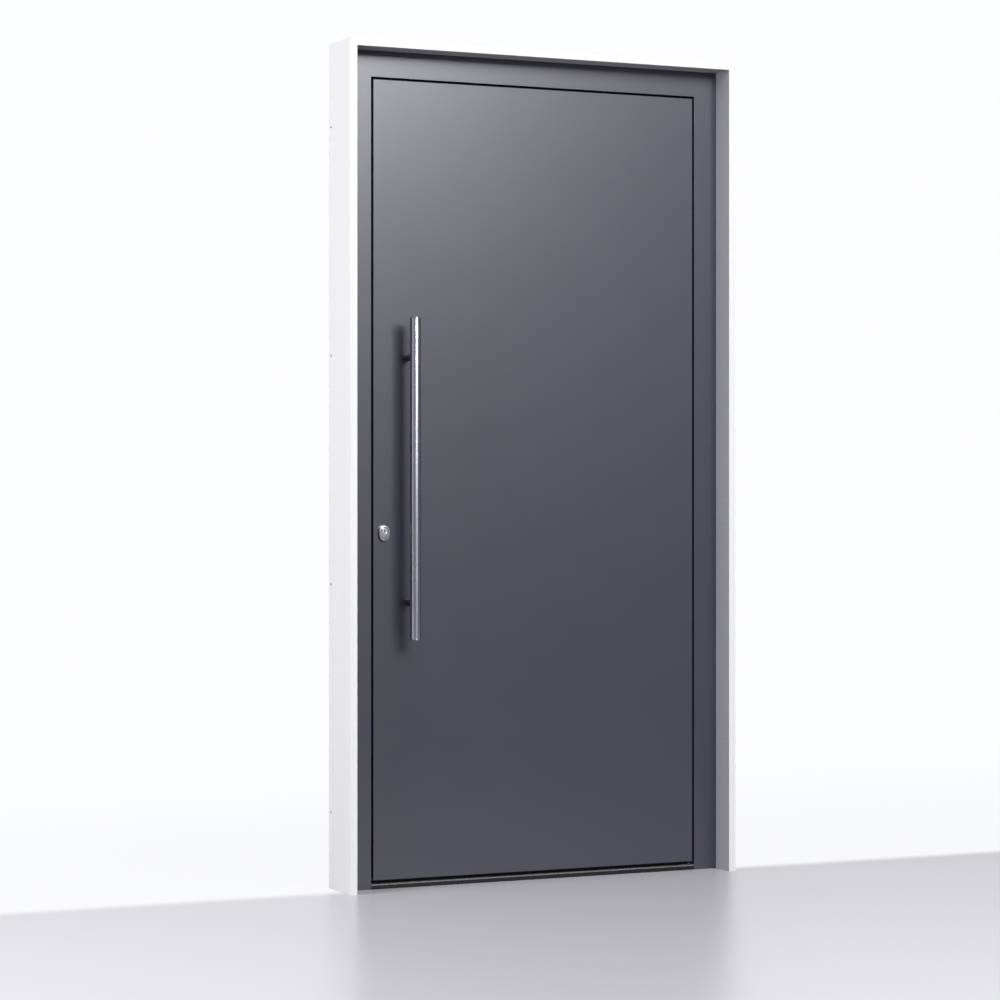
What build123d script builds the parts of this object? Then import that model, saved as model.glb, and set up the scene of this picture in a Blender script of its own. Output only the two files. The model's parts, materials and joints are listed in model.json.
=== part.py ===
"""A flush aluminium entry door in its lined reveal, closed, with every piece at its real place.

X runs to the right as seen from outside, Y runs into the building and Z runs up.
The origin is on the underside of the threshold, at mid-width and mid-depth of the frame.
All sizes are in millimetres.
"""

import os

from build123d import *

os.makedirs("parts", exist_ok=True)

# Clear opening in front of the frame
opening_width = 1100
opening_height = 2200
reveal_depth = 73.5
reveal_board_thickness = 20

# Frame profiles
frame_depth = 76
frame_face = 69
outer_profile_depth = 30
inner_profile_depth = 30
rebate_step = 18
profile_wall = 2
slot_floor = 5
bar_thickness = 3
bar_bite = 3
bar_from_rebate = 2
bar_from_back = 10
frame_edge_radius = 0.8

# Gasket between frame and leaf
gasket_groove_inset = 3
gasket_groove_width = 6
gasket_groove_depth = 3
gasket_bulb_radius = 1.6
gasket_space = 4
soft_clearance = 0.3

# Threshold
threshold_height = 13.5
threshold_nose_radius = 4
tread_groove_width = 3
tread_groove_depth = 1.5
tread_groove_pitch = 6
tread_groove_count = 3
threshold_wall = 3

# Leaf
leaf_gap = 6
leaf_bottom = 23.5
skin_thickness = 3
leaf_edge_radius = 0.8
leaf_break_depth = 12
leaf_break_width = 36
leaf_profile_width = 60
leaf_profile_wall = 2

# Seal under the leaf
seal_carrier_height = 4
seal_carrier_width = 9
seal_lip_width = 3
seal_inset = 6
seal_rows = (-20, 20)

# Lock, measured from the leaf's lock edge and from the floor
cylinder_backset = 47.5
cylinder_height = 940
lever_above_cylinder = 92
faceplate_width = 20
faceplate_thickness = 3
faceplate_bottom = 300
faceplate_from_top = 450
faceplate_corner_radius = 9
latch_above_cylinder = 112
latch_height = 24
dead_bolt_above_cylinder = 32
dead_bolt_height = 34
bolt_width = 12
bolt_length = 30
bolt_stands_out = 1
bolt_clearance = 0.5
hook_bolt_low = 400
hook_bolt_from_top = 550
hook_bolt_height = 44
hook_bolt_width = 8
strike_length = 220
hook_strike_length = 110
strike_window_clearance = 3

# Cylinder and its shields
plug_radius = 8.5
cylinder_body_width = 10
cylinder_body_height = 33
cylinder_clearance = 0.3
keyway_width = 2
keyway_height = 10
keyway_depth = 12
rotor_radius = 6.5
rotor_groove_width = 0.4
rotor_groove_depth = 1
plug_recess = 1
shield_width = 32
shield_height = 41
shield_thickness = 8
shield_wall = 3
shield_edge_bevel = 2.2
outer_shield_above_plug = -5.5
inner_shield_above_plug = -8

# Pull bar
bar_radius = 14.5
bar_wall = 1.5
bar_length = 843
bar_bottom = 656
bar_inset_from_reveal = 167
bar_axis_from_leaf = 65
bar_cap_height = 2
bar_cap_plug = 12
post_radius = 9
post_low = 751
post_high = 1395
post_sleeve_radius = 10.5
post_sleeve_length = 4

# Lever on the room side
rose_radius = 26
rose_thickness = 8
lever_radius = 9.5
lever_reach = 50
lever_length = 125
spindle_length = 20
spindle_side = 8
spindle_hole_radius = 11

# Hinges on the room side
hinge_low = 300
hinge_from_top = 340
hinge_axis_from_face = 11
hinge_length = 120
hinge_knuckle_radius = 9.5
hinge_outer_knuckle_length = 30
hinge_play = 0.5
hinge_pin_radius = 5
hinge_pin_clearance = 0.05
hinge_cap_height = 4
hinge_wing_width = 30
hinge_wing_thickness = 5
hinge_wing_from_axis = 11
hinge_wing_corner_radius = 4

# Holes for the frame's wall screws
wall_screw_radius = 4
wall_screw_from_end = 200
wall_screw_count = 4

# Places worked out from the sizes above
half_opening = opening_width / 2
front_y = -frame_depth / 2
back_y = frame_depth / 2
wall_y = front_y - reveal_depth
outer_back_y = front_y + outer_profile_depth
inner_front_y = back_y - inner_profile_depth
rebate_x = half_opening - frame_face
rebate_z = opening_height - frame_face
step_x = rebate_x + rebate_step
step_z = rebate_z + rebate_step
leaf_x = rebate_x - leaf_gap
leaf_z = rebate_z - leaf_gap
flange_x = step_x - leaf_gap
flange_z = step_z - leaf_gap
flange_y = outer_back_y + gasket_space
leaf_profile_y = flange_y + leaf_break_depth
inner_skin_y = back_y - skin_thickness
plug_x = -(flange_x - cylinder_backset)
lever_z = cylinder_height + lever_above_cylinder
lock_y = (leaf_profile_y + inner_skin_y) / 2
bar_x = -(half_opening - bar_inset_from_reveal)
bar_y = front_y - bar_axis_from_leaf
bar_top = bar_bottom + bar_length
faceplate_top = opening_height - faceplate_from_top
hook_bolt_heights = (hook_bolt_low, opening_height - hook_bolt_from_top)
hinge_high = opening_height - hinge_from_top
hinge_heights = (hinge_low, (hinge_low + hinge_high) / 2, hinge_high)
hinge_x = (flange_x + step_x) / 2
hinge_y = back_y + hinge_axis_from_face
screw_y = (inner_front_y + back_y) / 2
seal_bottom = threshold_height + soft_clearance


def save(builder, name):
    """Label the finished piece and write it under its node's name."""
    builder.part.label = name
    export_step(builder.part, f"parts/{name}.step")


def elevation(y):
    """The upright plane at depth y, seen from outside: its first axis is X and its second is Z."""
    return Plane.XZ.offset(-y)


def block(first_0, first_1, second_0, second_1, mode=Mode.ADD):
    """A rectangle between two pairs of edges."""
    with Locations(((first_0 + first_1) / 2, (second_0 + second_1) / 2)):
        Rectangle(first_1 - first_0, second_1 - second_0, mode=mode)


def arch(inner, outer, foot_z=0):
    """The band round the door's sides and head, between two distances out from the rebate edge."""
    block(-rebate_x - outer, rebate_x + outer, foot_z, rebate_z + outer)
    block(-rebate_x - inner, rebate_x + inner, foot_z, rebate_z + inner, mode=Mode.SUBTRACT)


def panel(reach_x, bottom, top, inset=0, mode=Mode.ADD):
    """A leaf-sized rectangle, drawn in by an even margin."""
    block(-reach_x + inset, reach_x - inset, bottom + inset, top - inset, mode=mode)


# Section planes of the frame's members: the first axis points out of the opening and the second is Y
right_plane = Plane(origin=(0, 0, 0), x_dir=(1, 0, 0), z_dir=(0, 0, 1))
left_plane = Plane(origin=(0, 0, opening_height), x_dir=(-1, 0, 0), z_dir=(0, 0, -1))
head_plane = Plane(origin=(half_opening, 0, 0), x_dir=(0, 0, 1), z_dir=(-1, 0, 0))

# The 45 degree mitres at the head's two corners
right_mitre = Plane(origin=(half_opening, 0, opening_height), z_dir=(-1, 0, 1))
left_mitre = Plane(origin=(-half_opening, 0, opening_height), z_dir=(1, 0, 1))

# Each member's name, section plane, rebate edge, length, and the mitres with the side that it keeps
frame_members = (
    ("jamb_left", left_plane, rebate_x, opening_height, ((left_mitre, Keep.BOTTOM),)),
    ("jamb_right", right_plane, rebate_x, opening_height, ((right_mitre, Keep.BOTTOM),)),
    ("head", head_plane, rebate_z, opening_width, ((left_mitre, Keep.TOP), (right_mitre, Keep.TOP))),
)


def bar_slots(edge, y_0, y_1):
    """The two slots that grip the plastic bars between the outer and inner profiles."""
    near = edge + rebate_step + bar_from_rebate
    far = edge + frame_face - bar_from_back
    block(near, near + bar_thickness, y_0, y_1, mode=Mode.SUBTRACT)
    block(far - bar_thickness, far, y_0, y_1, mode=Mode.SUBTRACT)


def two_chambers(u_0, u_1, y_0, y_1):
    """Two hollow chambers with a web between them."""
    middle = (u_0 + u_1) / 2
    half_web = profile_wall / 2
    block(u_0, middle - half_web, y_0, y_1, mode=Mode.SUBTRACT)
    block(middle + half_web, u_1, y_0, y_1, mode=Mode.SUBTRACT)


def outer_profile_section(edge):
    """Outer aluminium profile: flush face, two chambers, gasket groove and bar slots."""
    block(edge, edge + frame_face, front_y, outer_back_y)
    two_chambers(
        edge + profile_wall,
        edge + frame_face - profile_wall,
        front_y + profile_wall,
        outer_back_y - slot_floor,
    )
    groove = edge + gasket_groove_inset
    groove_y = outer_back_y - gasket_groove_depth
    block(groove, groove + gasket_groove_width, groove_y, outer_back_y, mode=Mode.SUBTRACT)
    bar_slots(edge, outer_back_y - bar_bite, outer_back_y)


def inner_profile_section(edge):
    """Inner aluminium profile: one chamber, set back by the rebate step."""
    block(edge + rebate_step, edge + frame_face, inner_front_y, back_y)
    block(
        edge + rebate_step + profile_wall,
        edge + frame_face - profile_wall,
        inner_front_y + slot_floor,
        back_y - profile_wall,
        mode=Mode.SUBTRACT,
    )
    bar_slots(edge, inner_front_y, inner_front_y + bar_bite)


def wall_screw_holes(side):
    """Holes along X for the screws that hold one jamb and its reveal board to the wall."""
    spacing = (opening_height - 2 * wall_screw_from_end) / (wall_screw_count - 1)
    heights = [wall_screw_from_end + k * spacing for k in range(wall_screw_count)]
    with BuildSketch(Plane.YZ.offset(side * rebate_x)) as holes:
        with Locations(*[(screw_y, z) for z in heights]):
            Circle(wall_screw_radius)
    depth = frame_face + reveal_board_thickness
    extrude(holes.sketch, amount=side * depth, mode=Mode.SUBTRACT)


def slot_windows(x_0, x_1, windows):
    """Windows cut along X, each given by its middle height, height and width."""
    for middle_z, height, width in windows:
        with BuildSketch(Plane.YZ.offset(x_0)) as window:
            with Locations((lock_y, middle_z)):
                Rectangle(width, height)
        extrude(window.sketch, amount=x_1 - x_0, mode=Mode.SUBTRACT)


# Heights of the bolts, with the height and width of each one
latch_z = cylinder_height + latch_above_cylinder
dead_bolt_z = cylinder_height + dead_bolt_above_cylinder
latch_window = (latch_z, latch_height, bolt_width)
dead_bolt_window = (dead_bolt_z, dead_bolt_height, bolt_width)
hook_windows = [(z, hook_bolt_height, hook_bolt_width) for z in hook_bolt_heights]
main_strike_z = (latch_z + dead_bolt_z) / 2


def widened(windows, clearance):
    """The same windows with a clearance on every side."""
    return [(z, height + 2 * clearance, width + 2 * clearance) for z, height, width in windows]


# Reveal lining: two upright boards and one across the top
for name, side in (("reveal_board_left", -1), ("reveal_board_right", 1)):
    with BuildPart() as board:
        with BuildSketch():
            near_x = side * half_opening
            far_x = side * (half_opening + reveal_board_thickness)
            block(min(near_x, far_x), max(near_x, far_x), wall_y, back_y)
        extrude(amount=opening_height)
        wall_screw_holes(side)
    save(board, name)

with BuildPart() as reveal_board_head:
    with BuildSketch(Plane.XY.offset(opening_height)):
        reach = half_opening + reveal_board_thickness
        block(-reach, reach, wall_y, back_y)
    extrude(amount=reveal_board_thickness)
save(reveal_board_head, "reveal_board_head")

# Outer aluminium profiles of the frame, mitred at the head
for name, plane, edge, length, mitres in frame_members:
    with BuildPart() as outer_member:
        with BuildSketch(plane):
            outer_profile_section(edge)
        extrude(amount=length)
        for mitre, side_kept in mitres:
            split(bisect_by=mitre, keep=side_kept)
        front_edges = outer_member.faces().sort_by(Axis.Y)[0].edges()
        rebate_edge = front_edges.sort_by_distance((0, front_y, opening_height / 2))[0]
        fillet(rebate_edge, frame_edge_radius)
    save(outer_member, f"{name}_outer_profile")

# Inner aluminium profiles, with wall screw holes in the jambs and strike pockets on the lock side
for name, plane, edge, length, mitres in frame_members:
    with BuildPart() as inner_member:
        with BuildSketch(plane):
            inner_profile_section(edge)
        extrude(amount=length)
        for mitre, side_kept in mitres:
            split(bisect_by=mitre, keep=side_kept)
        if name == "jamb_left":
            wall_screw_holes(-1)
            strike_pockets = [(main_strike_z, strike_length, faceplate_width)]
            for z, _, _ in hook_windows:
                strike_pockets.append((z, hook_strike_length, faceplate_width))
            for z, height, width in strike_pockets:
                with BuildSketch(Plane.YZ.offset(-step_x)):
                    with Locations((lock_y, z)):
                        RectangleRounded(width, height, faceplate_corner_radius)
                extrude(amount=-faceplate_thickness, mode=Mode.SUBTRACT)
        if name == "jamb_right":
            wall_screw_holes(1)
    save(inner_member, f"{name}_inner_profile")

# Plastic bars that part the outer and inner aluminium
with BuildPart() as frame_thermal_bars:
    near_bar = rebate_step + bar_from_rebate
    far_bar = frame_face - bar_from_back
    with BuildSketch(elevation(inner_front_y + bar_bite)):
        arch(near_bar, near_bar + bar_thickness)
    extrude(amount=inner_front_y - outer_back_y + 2 * bar_bite)
    with BuildSketch(elevation(inner_front_y + bar_bite)):
        arch(far_bar - bar_thickness, far_bar)
    extrude(amount=inner_front_y - outer_back_y + 2 * bar_bite)
save(frame_thermal_bars, "frame_thermal_bars")

# Gasket: a foot in the groove and a rounded bulb that the leaf's flange meets
with BuildPart() as frame_gasket:
    bulb_end_y = flange_y - soft_clearance
    gasket_outer = gasket_groove_inset + gasket_groove_width
    with BuildSketch(elevation(bulb_end_y)):
        arch(gasket_groove_inset, gasket_outer, foot_z=threshold_height)
    extrude(amount=bulb_end_y - outer_back_y + gasket_groove_depth)
    tip_edges = frame_gasket.faces().sort_by(Axis.Y)[-1].edges().filter_by(Axis.Y, reverse=True)
    long_edges = [e for e in tip_edges if e.length > 2 * gasket_groove_width]
    fillet(long_edges, gasket_bulb_radius)
save(frame_gasket, "frame_gasket")

# Threshold: nosed outer sill, plastic break and inner sill
with BuildPart() as threshold_outer_sill:
    with BuildSketch(Plane.YZ.offset(-rebate_x)):
        block(front_y, outer_back_y, 0, threshold_height)
        chamber_0 = front_y + threshold_nose_radius
        chamber_1 = outer_back_y - threshold_wall
        chamber_top = threshold_height - threshold_wall - tread_groove_depth
        block(chamber_0, chamber_1, threshold_wall, chamber_top, mode=Mode.SUBTRACT)
        for k in range(tread_groove_count):
            groove_0 = outer_back_y - threshold_wall - tread_groove_width - k * tread_groove_pitch
            groove_bottom = threshold_height - tread_groove_depth
            block(
                groove_0,
                groove_0 + tread_groove_width,
                groove_bottom,
                threshold_height,
                mode=Mode.SUBTRACT,
            )
    extrude(amount=2 * rebate_x)
    nose_edge = threshold_outer_sill.faces().sort_by(Axis.Y)[0].edges().sort_by(Axis.Z)[-1]
    fillet(nose_edge, threshold_nose_radius)
save(threshold_outer_sill, "threshold_outer_sill")

with BuildPart() as threshold_thermal_break:
    with BuildSketch(Plane.YZ.offset(-step_x - bar_from_rebate)):
        block(outer_back_y, inner_front_y, 0, threshold_height)
    extrude(amount=2 * (step_x + bar_from_rebate))
save(threshold_thermal_break, "threshold_thermal_break")

with BuildPart() as threshold_inner_sill:
    with BuildSketch(Plane.YZ.offset(-step_x)):
        block(inner_front_y, back_y, 0, threshold_height)
        block(
            inner_front_y + threshold_wall,
            back_y - threshold_wall,
            threshold_wall,
            threshold_height - threshold_wall,
            mode=Mode.SUBTRACT,
        )
    extrude(amount=2 * step_x)
save(threshold_inner_sill, "threshold_inner_sill")

# Strike plates, let in flush on the lock side of the frame
with BuildPart() as strike_plate_lock:
    with BuildSketch(Plane.YZ.offset(-step_x)):
        with Locations((lock_y, main_strike_z)):
            RectangleRounded(faceplate_width, strike_length, faceplate_corner_radius)
    extrude(amount=-faceplate_thickness)
    plate_windows = widened([latch_window, dead_bolt_window], strike_window_clearance)
    slot_windows(-step_x - faceplate_thickness, -step_x, plate_windows)
save(strike_plate_lock, "strike_plate_lock")

with BuildPart() as strike_plates_hooks:
    for z in hook_bolt_heights:
        with BuildSketch(Plane.YZ.offset(-step_x)):
            with Locations((lock_y, z)):
                RectangleRounded(faceplate_width, hook_strike_length, faceplate_corner_radius)
        extrude(amount=-faceplate_thickness)
    plate_windows = widened(hook_windows, strike_window_clearance)
    slot_windows(-step_x - faceplate_thickness, -step_x, plate_windows)
save(strike_plates_hooks, "strike_plates_hooks")


def cylinder_profile(clearance=0.0, mode=Mode.ADD):
    """The lock cylinder's section: a round plug housing over a narrow body with a round foot."""
    body_half = cylinder_body_width / 2
    foot_z = cylinder_height + plug_radius - cylinder_body_height + body_half
    with Locations((plug_x, cylinder_height)):
        Circle(plug_radius + clearance, mode=mode)
    with Locations((plug_x, foot_z)):
        Circle(body_half + clearance, mode=mode)
    block(
        plug_x - body_half - clearance,
        plug_x + body_half + clearance,
        foot_z,
        cylinder_height,
        mode=mode,
    )


def cylinder_hole():
    """The hole through the leaf for the lock cylinder."""
    with BuildSketch(elevation(back_y)) as hole:
        cylinder_profile(cylinder_clearance)
    extrude(hole.sketch, amount=frame_depth, mode=Mode.SUBTRACT)


def spindle_hole(y_0):
    """The hole for the lever's spindle, from the room side to depth y_0."""
    with BuildSketch(elevation(back_y)) as hole:
        with Locations((plug_x, lever_z)):
            Circle(spindle_hole_radius)
    extrude(hole.sketch, amount=back_y - y_0, mode=Mode.SUBTRACT)


# Leaf outer panel: a flat tray whose folded edges run back to the flange
with BuildPart() as leaf_outer_panel:
    with BuildSketch(elevation(flange_y)):
        panel(leaf_x, leaf_bottom, leaf_z)
    extrude(amount=flange_y - front_y)
    front_edges = leaf_outer_panel.faces().sort_by(Axis.Y)[0].edges()
    fillet(front_edges, leaf_edge_radius)
    with BuildSketch(elevation(flange_y)):
        panel(leaf_x, leaf_bottom, leaf_z, inset=skin_thickness)
    extrude(amount=flange_y - front_y - skin_thickness, mode=Mode.SUBTRACT)
    cylinder_hole()
save(leaf_outer_panel, "leaf_outer_panel")

# Foam core: it fills the tray, the plastic ring and the space inside the leaf's profiles
with BuildPart() as leaf_foam_core:
    with BuildSketch(elevation(flange_y)):
        panel(leaf_x, leaf_bottom, leaf_z, inset=skin_thickness)
    extrude(amount=flange_y - front_y - skin_thickness)
    with BuildSketch(elevation(leaf_profile_y)):
        panel(flange_x, leaf_bottom, flange_z, inset=leaf_break_width)
    extrude(amount=leaf_break_depth)
    with BuildSketch(elevation(inner_skin_y)):
        panel(flange_x, leaf_bottom, flange_z, inset=leaf_profile_width)
    extrude(amount=inner_skin_y - leaf_profile_y)
    cylinder_hole()
save(leaf_foam_core, "leaf_foam_core")

# Plastic ring behind the tray: its edge is the flange that meets the gasket
with BuildPart() as leaf_thermal_ring:
    with BuildSketch(elevation(leaf_profile_y)):
        panel(flange_x, leaf_bottom, flange_z)
        panel(flange_x, leaf_bottom, flange_z, inset=leaf_break_width, mode=Mode.SUBTRACT)
    extrude(amount=leaf_break_depth)
save(leaf_thermal_ring, "leaf_thermal_ring")


def leaf_corner(side_x, side_z):
    """The mitre at one corner of the leaf; the stile lies on its positive side."""
    corner_z = leaf_bottom if side_z < 0 else flange_z
    return Plane(origin=(side_x * flange_x, 0, corner_z), z_dir=(side_x, 0, -side_z))


def box_section(u_0, u_1, v_0, v_1, wall):
    """A rectangular tube's section."""
    block(u_0, u_1, v_0, v_1)
    block(u_0 + wall, u_1 - wall, v_0 + wall, v_1 - wall, mode=Mode.SUBTRACT)


# Leaf stiles: upright tubes, with the lock's holes in the one on the lock side
for name, side in (("leaf_stile_lock", -1), ("leaf_stile_hinge", 1)):
    with BuildPart() as stile:
        with BuildSketch(Plane.XY.offset(leaf_bottom)):
            edge_x = side * flange_x
            inner_x = side * (flange_x - leaf_profile_width)
            box_section(
                min(edge_x, inner_x),
                max(edge_x, inner_x),
                leaf_profile_y,
                inner_skin_y,
                leaf_profile_wall,
            )
        extrude(amount=flange_z - leaf_bottom)
        split(bisect_by=leaf_corner(side, -1), keep=Keep.TOP)
        split(bisect_by=leaf_corner(side, 1), keep=Keep.TOP)
        if name == "leaf_stile_lock":
            cylinder_hole()
            spindle_hole(lock_y)
            with BuildSketch(Plane.YZ.offset(-flange_x)):
                with Locations((lock_y, (faceplate_bottom + faceplate_top) / 2)):
                    RectangleRounded(
                        faceplate_width,
                        faceplate_top - faceplate_bottom,
                        faceplate_corner_radius,
                    )
            extrude(amount=faceplate_thickness, mode=Mode.SUBTRACT)
    save(stile, name)

# Leaf rails: tubes across the top and the bottom
for name, side in (("leaf_rail_bottom", -1), ("leaf_rail_top", 1)):
    with BuildPart() as rail:
        with BuildSketch(Plane.YZ.offset(-flange_x)):
            rail_bottom = leaf_bottom if side < 0 else flange_z - leaf_profile_width
            box_section(
                leaf_profile_y,
                inner_skin_y,
                rail_bottom,
                rail_bottom + leaf_profile_width,
                leaf_profile_wall,
            )
        extrude(amount=2 * flange_x)
        split(bisect_by=leaf_corner(-1, side), keep=Keep.BOTTOM)
        split(bisect_by=leaf_corner(1, side), keep=Keep.BOTTOM)
    save(rail, name)

# Leaf inner panel: one flush sheet over the profiles
with BuildPart() as leaf_inner_panel:
    with BuildSketch(elevation(back_y)):
        panel(flange_x, leaf_bottom, flange_z)
    extrude(amount=skin_thickness)
    back_edges = leaf_inner_panel.faces().sort_by(Axis.Y)[-1].edges()
    fillet(back_edges, leaf_edge_radius)
    cylinder_hole()
    spindle_hole(inner_skin_y)
save(leaf_inner_panel, "leaf_inner_panel")

# Bottom seal: two carriers with tapered lips that almost touch the threshold
with BuildPart() as leaf_bottom_seal:
    for row_y in seal_rows:
        with BuildSketch(Plane.YZ.offset(-leaf_x + seal_inset)):
            carrier_half = seal_carrier_width / 2
            block(
                row_y - carrier_half,
                row_y + carrier_half,
                leaf_bottom - seal_carrier_height,
                leaf_bottom,
            )
            with BuildLine():
                Polyline(
                    (row_y - carrier_half, leaf_bottom - seal_carrier_height),
                    (row_y + carrier_half, leaf_bottom - seal_carrier_height),
                    (row_y + seal_lip_width / 2, seal_bottom),
                    (row_y - seal_lip_width / 2, seal_bottom),
                    close=True,
                )
            make_face()
        extrude(amount=2 * (leaf_x - seal_inset))
save(leaf_bottom_seal, "leaf_bottom_seal")

# Lock faceplate, let in flush along the lock edge
with BuildPart() as lock_faceplate:
    with BuildSketch(Plane.YZ.offset(-flange_x)):
        with Locations((lock_y, (faceplate_bottom + faceplate_top) / 2)):
            RectangleRounded(
                faceplate_width,
                faceplate_top - faceplate_bottom,
                faceplate_corner_radius,
            )
    extrude(amount=faceplate_thickness)
    bolt_windows = widened([latch_window, dead_bolt_window] + hook_windows, bolt_clearance)
    slot_windows(-flange_x, -flange_x + faceplate_thickness, bolt_windows)
save(lock_faceplate, "lock_faceplate")

# Bolts, drawn back so that they stand just proud of the faceplate
bolt_tip_x = -flange_x - bolt_stands_out
with BuildPart() as latch_bolt:
    with BuildSketch(Plane.XY.offset(latch_z - latch_height / 2)):
        with BuildLine():
            Polyline(
                (bolt_tip_x, lock_y - bolt_width / 2),
                (bolt_tip_x + bolt_length, lock_y - bolt_width / 2),
                (bolt_tip_x + bolt_length, lock_y + bolt_width / 2),
                (bolt_tip_x + bolt_stands_out, lock_y + bolt_width / 2),
                close=True,
            )
        make_face()
    extrude(amount=latch_height)
save(latch_bolt, "latch_bolt")

with BuildPart() as dead_bolt:
    with BuildSketch(Plane.XY.offset(dead_bolt_z - dead_bolt_height / 2)):
        block(
            bolt_tip_x,
            bolt_tip_x + bolt_length,
            lock_y - bolt_width / 2,
            lock_y + bolt_width / 2,
        )
    extrude(amount=dead_bolt_height)
    tip_edges = dead_bolt.faces().sort_by(Axis.X)[0].edges().filter_by(Axis.Z)
    chamfer(tip_edges, bolt_stands_out)
save(dead_bolt, "dead_bolt")

# Hook bolts: quarter-round claws that turn out of the faceplate's slots
with BuildPart() as hook_bolts:
    for z in hook_bolt_heights:
        with BuildSketch(elevation(lock_y + hook_bolt_width / 2)):
            block(
                bolt_tip_x,
                bolt_tip_x + bolt_length,
                z - hook_bolt_height / 2,
                z + hook_bolt_height / 2,
            )
            tips = vertices().group_by(Axis.X)[0]
            fillet(tips.sort_by(Axis.Z)[-1], hook_bolt_height / 2)
        extrude(amount=hook_bolt_width)
save(hook_bolts, "hook_bolts")


def shield_outline(above_plug):
    """The oval outline of the cylinder's shields, at a height measured from the plug's axis."""
    with Locations((plug_x, cylinder_height + above_plug)):
        SlotOverall(shield_height, shield_width, rotation=90)


# Outer shield: an oval cap over the cylinder, with a round hole for the plug
with BuildPart() as outer_shield:
    with BuildSketch(elevation(front_y)):
        shield_outline(outer_shield_above_plug)
    extrude(amount=shield_thickness)
    chamfer(outer_shield.faces().sort_by(Axis.Y)[0].edges(), shield_edge_bevel)
    with BuildSketch(elevation(front_y)):
        cylinder_profile(cylinder_clearance)
    extrude(amount=shield_thickness - shield_wall, mode=Mode.SUBTRACT)
    with BuildSketch(elevation(front_y)):
        with Locations((plug_x, cylinder_height)):
            Circle(plug_radius + cylinder_clearance)
    extrude(amount=shield_thickness, mode=Mode.SUBTRACT)
save(outer_shield, "outer_shield")

# Inner shield: the same oval on the room side
with BuildPart() as inner_shield:
    with BuildSketch(elevation(back_y + shield_thickness)):
        shield_outline(inner_shield_above_plug)
        cylinder_profile(cylinder_clearance, mode=Mode.SUBTRACT)
    extrude(amount=shield_thickness)
save(inner_shield, "inner_shield")

# Lock cylinder: body through the leaf, keyways at both ends and the groove round its turning core outside
with BuildPart() as lock_cylinder:
    body_front_y = front_y - shield_thickness + shield_wall + cylinder_clearance
    body_back_y = back_y + shield_thickness
    plug_front_y = front_y - shield_thickness + plug_recess
    with BuildSketch(elevation(body_back_y)):
        cylinder_profile()
    extrude(amount=body_back_y - body_front_y)
    with BuildSketch(elevation(body_back_y)):
        with Locations((plug_x, cylinder_height)):
            Circle(plug_radius)
    extrude(amount=body_back_y - plug_front_y)
    for mouth_y, inward in ((plug_front_y, -1), (body_back_y, 1)):
        with BuildSketch(elevation(mouth_y)):
            with Locations((plug_x, cylinder_height)):
                Rectangle(keyway_width, keyway_height)
        extrude(amount=inward * keyway_depth, mode=Mode.SUBTRACT)
    with BuildSketch(elevation(plug_front_y)):
        with Locations((plug_x, cylinder_height)):
            Circle(rotor_radius + rotor_groove_width)
            Circle(rotor_radius, mode=Mode.SUBTRACT)
    extrude(amount=-rotor_groove_depth, mode=Mode.SUBTRACT)
save(lock_cylinder, "lock_cylinder")

# Rose and lever on the room side: the lever is a round bar with a mitred corner
with BuildPart() as inner_handle_rose:
    with BuildSketch(elevation(back_y + rose_thickness)):
        with Locations((plug_x, lever_z)):
            Circle(rose_radius)
            Circle(lever_radius + cylinder_clearance, mode=Mode.SUBTRACT)
    extrude(amount=rose_thickness)
save(inner_handle_rose, "inner_handle_rose")

with BuildPart() as inner_handle_lever:
    grip_y = back_y + lever_reach
    with BuildLine() as lever_path:
        Polyline(
            (plug_x, back_y, lever_z),
            (plug_x, grip_y, lever_z),
            (plug_x + lever_length, grip_y, lever_z),
        )
    with BuildSketch(Plane(origin=(plug_x, back_y, lever_z), z_dir=(0, 1, 0))):
        Circle(lever_radius)
    sweep(path=lever_path.wires()[0], transition=Transition.RIGHT)
    with BuildSketch(elevation(back_y)):
        with Locations((plug_x, lever_z)):
            Rectangle(spindle_side, spindle_side)
    extrude(amount=spindle_length)
save(inner_handle_lever, "inner_handle_lever")

# Pull bar: a round tube with a flat cap plugged into each end
with BuildPart() as pull_bar:
    with BuildSketch(Plane.XY.offset(bar_bottom + bar_cap_height)):
        with Locations((bar_x, bar_y)):
            Circle(bar_radius)
            Circle(bar_radius - bar_wall, mode=Mode.SUBTRACT)
    extrude(amount=bar_length - 2 * bar_cap_height)
save(pull_bar, "pull_bar")

for name, end_z, inward in (("pull_bar_cap_top", bar_top, -1), ("pull_bar_cap_bottom", bar_bottom, 1)):
    with BuildPart() as cap:
        with BuildSketch(Plane.XY.offset(end_z)):
            with Locations((bar_x, bar_y)):
                Circle(bar_radius)
        extrude(amount=inward * bar_cap_height)
        with BuildSketch(Plane.XY.offset(end_z + inward * bar_cap_height)):
            with Locations((bar_x, bar_y)):
                Circle(bar_radius - bar_wall)
        extrude(amount=inward * bar_cap_plug)
    save(cap, name)

# Posts: a short rod with a collar against the leaf, and a saddle cut to the tube
for name, post_z in (("pull_post_lower", post_low), ("pull_post_upper", post_high)):
    with BuildPart() as post:
        with BuildSketch(elevation(front_y)):
            with Locations((bar_x, post_z)):
                Circle(post_radius)
        extrude(amount=bar_axis_from_leaf)
        with BuildSketch(elevation(front_y)):
            with Locations((bar_x, post_z)):
                Circle(post_sleeve_radius)
        extrude(amount=post_sleeve_length)
        with BuildSketch(Plane.XY.offset(post_z - 2 * post_radius)):
            with Locations((bar_x, bar_y)):
                Circle(bar_radius)
        extrude(amount=4 * post_radius, mode=Mode.SUBTRACT)
    save(post, name)


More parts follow.
